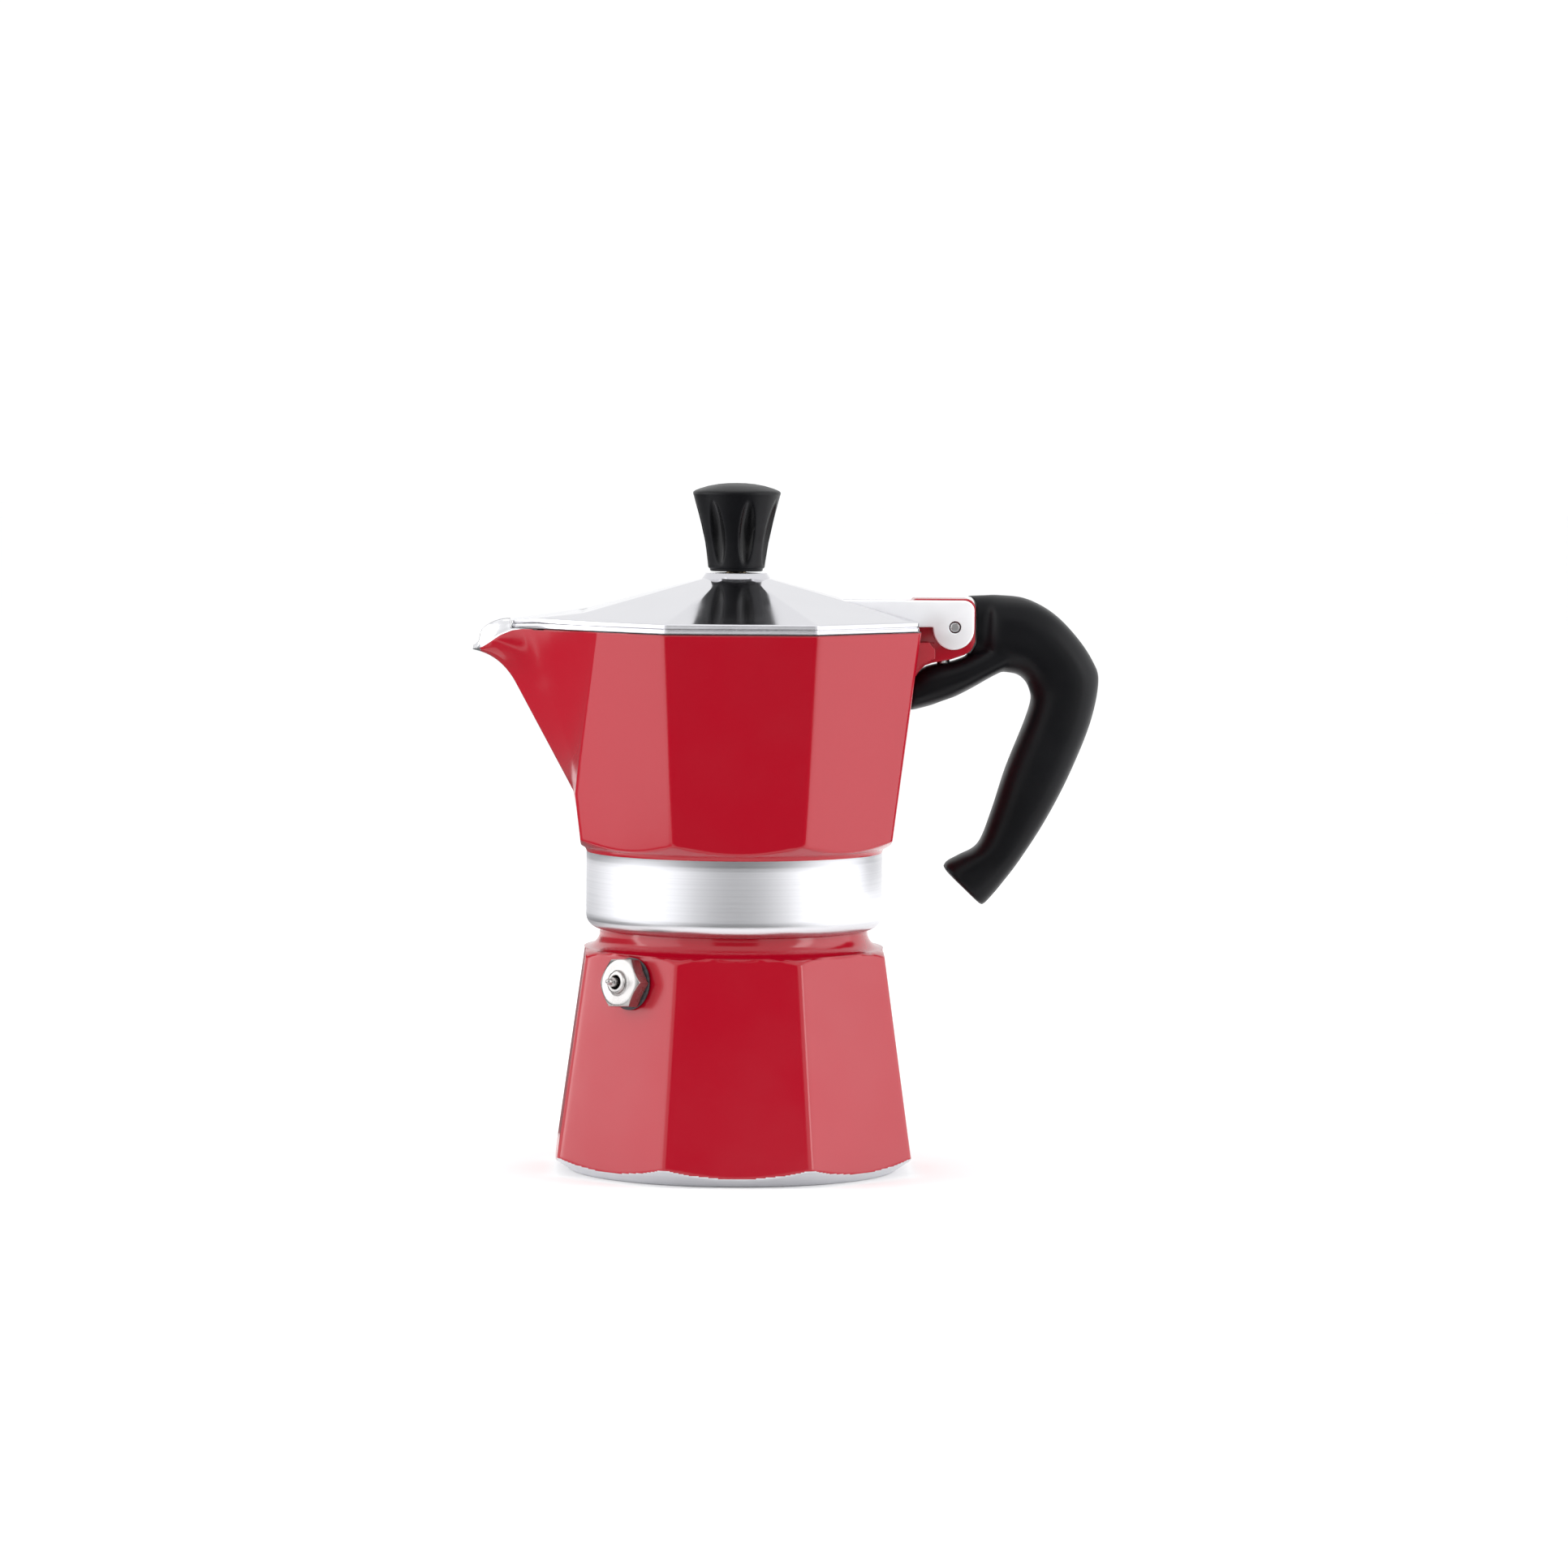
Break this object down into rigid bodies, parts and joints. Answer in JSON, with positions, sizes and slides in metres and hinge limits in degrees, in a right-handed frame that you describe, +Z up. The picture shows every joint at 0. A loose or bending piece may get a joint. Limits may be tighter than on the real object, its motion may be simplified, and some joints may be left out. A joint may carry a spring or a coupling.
{
  "type": "stovetop coffee maker",
  "caption": "Octagonal stovetop coffee maker: boiler with safety valve, lift-out funnel, screw-on upper pot with pouring spout, hinged lid with knob, and side handle.",
  "frame": {"origin": "centre of the boiler's flat base, on the surface it stands on", "axes": "+Z up along the pot's axis, -X towards the spout, +X towards the handle, -Y towards the front facet"},
  "size_m": [0.1463, 0.0846, 0.16],
  "materials": {
    "enamel": "gloss",
    "aluminium": "satin",
    "polished": "polished",
    "bakelite": "satin",
    "steel": "satin",
    "nickel": "nickel plated",
    "brass": "turned",
    "rubber": "matt",
    "fibre": "matt"
  },
  "bodies": {
    "base": {"boiler": "enamel", "valve_body": "nickel", "valve_washer": "fibre", "valve_seat": "brass"},
    "seal": {"gasket": "rubber"},
    "filter": {"filter_plate": "aluminium"},
    "pot": {"collector": "enamel", "coffee_column": "aluminium", "hinge_pin": "steel", "handle": "bakelite", "handle_screw": "steel"},
    "lid": {"lid": "polished", "knob": "bakelite", "knob_insert": "brass", "knob_washer": "steel", "knob_screw": "steel"},
    "funnel": {"funnel": "aluminium", "funnel_screen": "aluminium"},
    "plunger": {"valve_plunger": "nickel", "valve_disc": "rubber", "valve_spring": "steel"}
  },
  "joints": [
    {"name": "collector_lift", "type": "slide", "parent": "base", "child": "seal", "axis": [0, 0, 1], "range_m": [0, 0.12]},
    {"name": "collector_rise", "type": "slide", "parent": "seal", "child": "filter", "axis": [0, 0, 1], "range_m": [0, 0.0075]},
    {"name": "collector_turn", "type": "hinge", "parent": "filter", "child": "pot", "pos_m": [0, 0, 0.065], "axis": [0, 0, 1], "range_deg": [0, 900]},
    {"name": "lid_hinge", "type": "hinge", "parent": "pot", "child": "lid", "pos_m": [0.0506, 0, 0.127], "axis": [0, 1, 0], "range_deg": [0, 98]},
    {"name": "funnel_lift", "type": "slide", "parent": "base", "child": "funnel", "axis": [0, 0, 1], "range_m": [0, 0.06]},
    {"name": "valve_plunger_slide", "type": "slide", "parent": "base", "child": "plunger", "axis": [-0.7005, -0.7005, 0.1359], "range_m": [0, 0.0012], "stiffness_N_per_m": 2000}
  ],
  "couplings": [
    {"joint": "collector_rise", "follows": "collector_turn", "m_per_rad": 0.00047746},
    {"joint": "funnel_lift", "follows": "collector_lift", "ratio": 0.5}
  ]
}
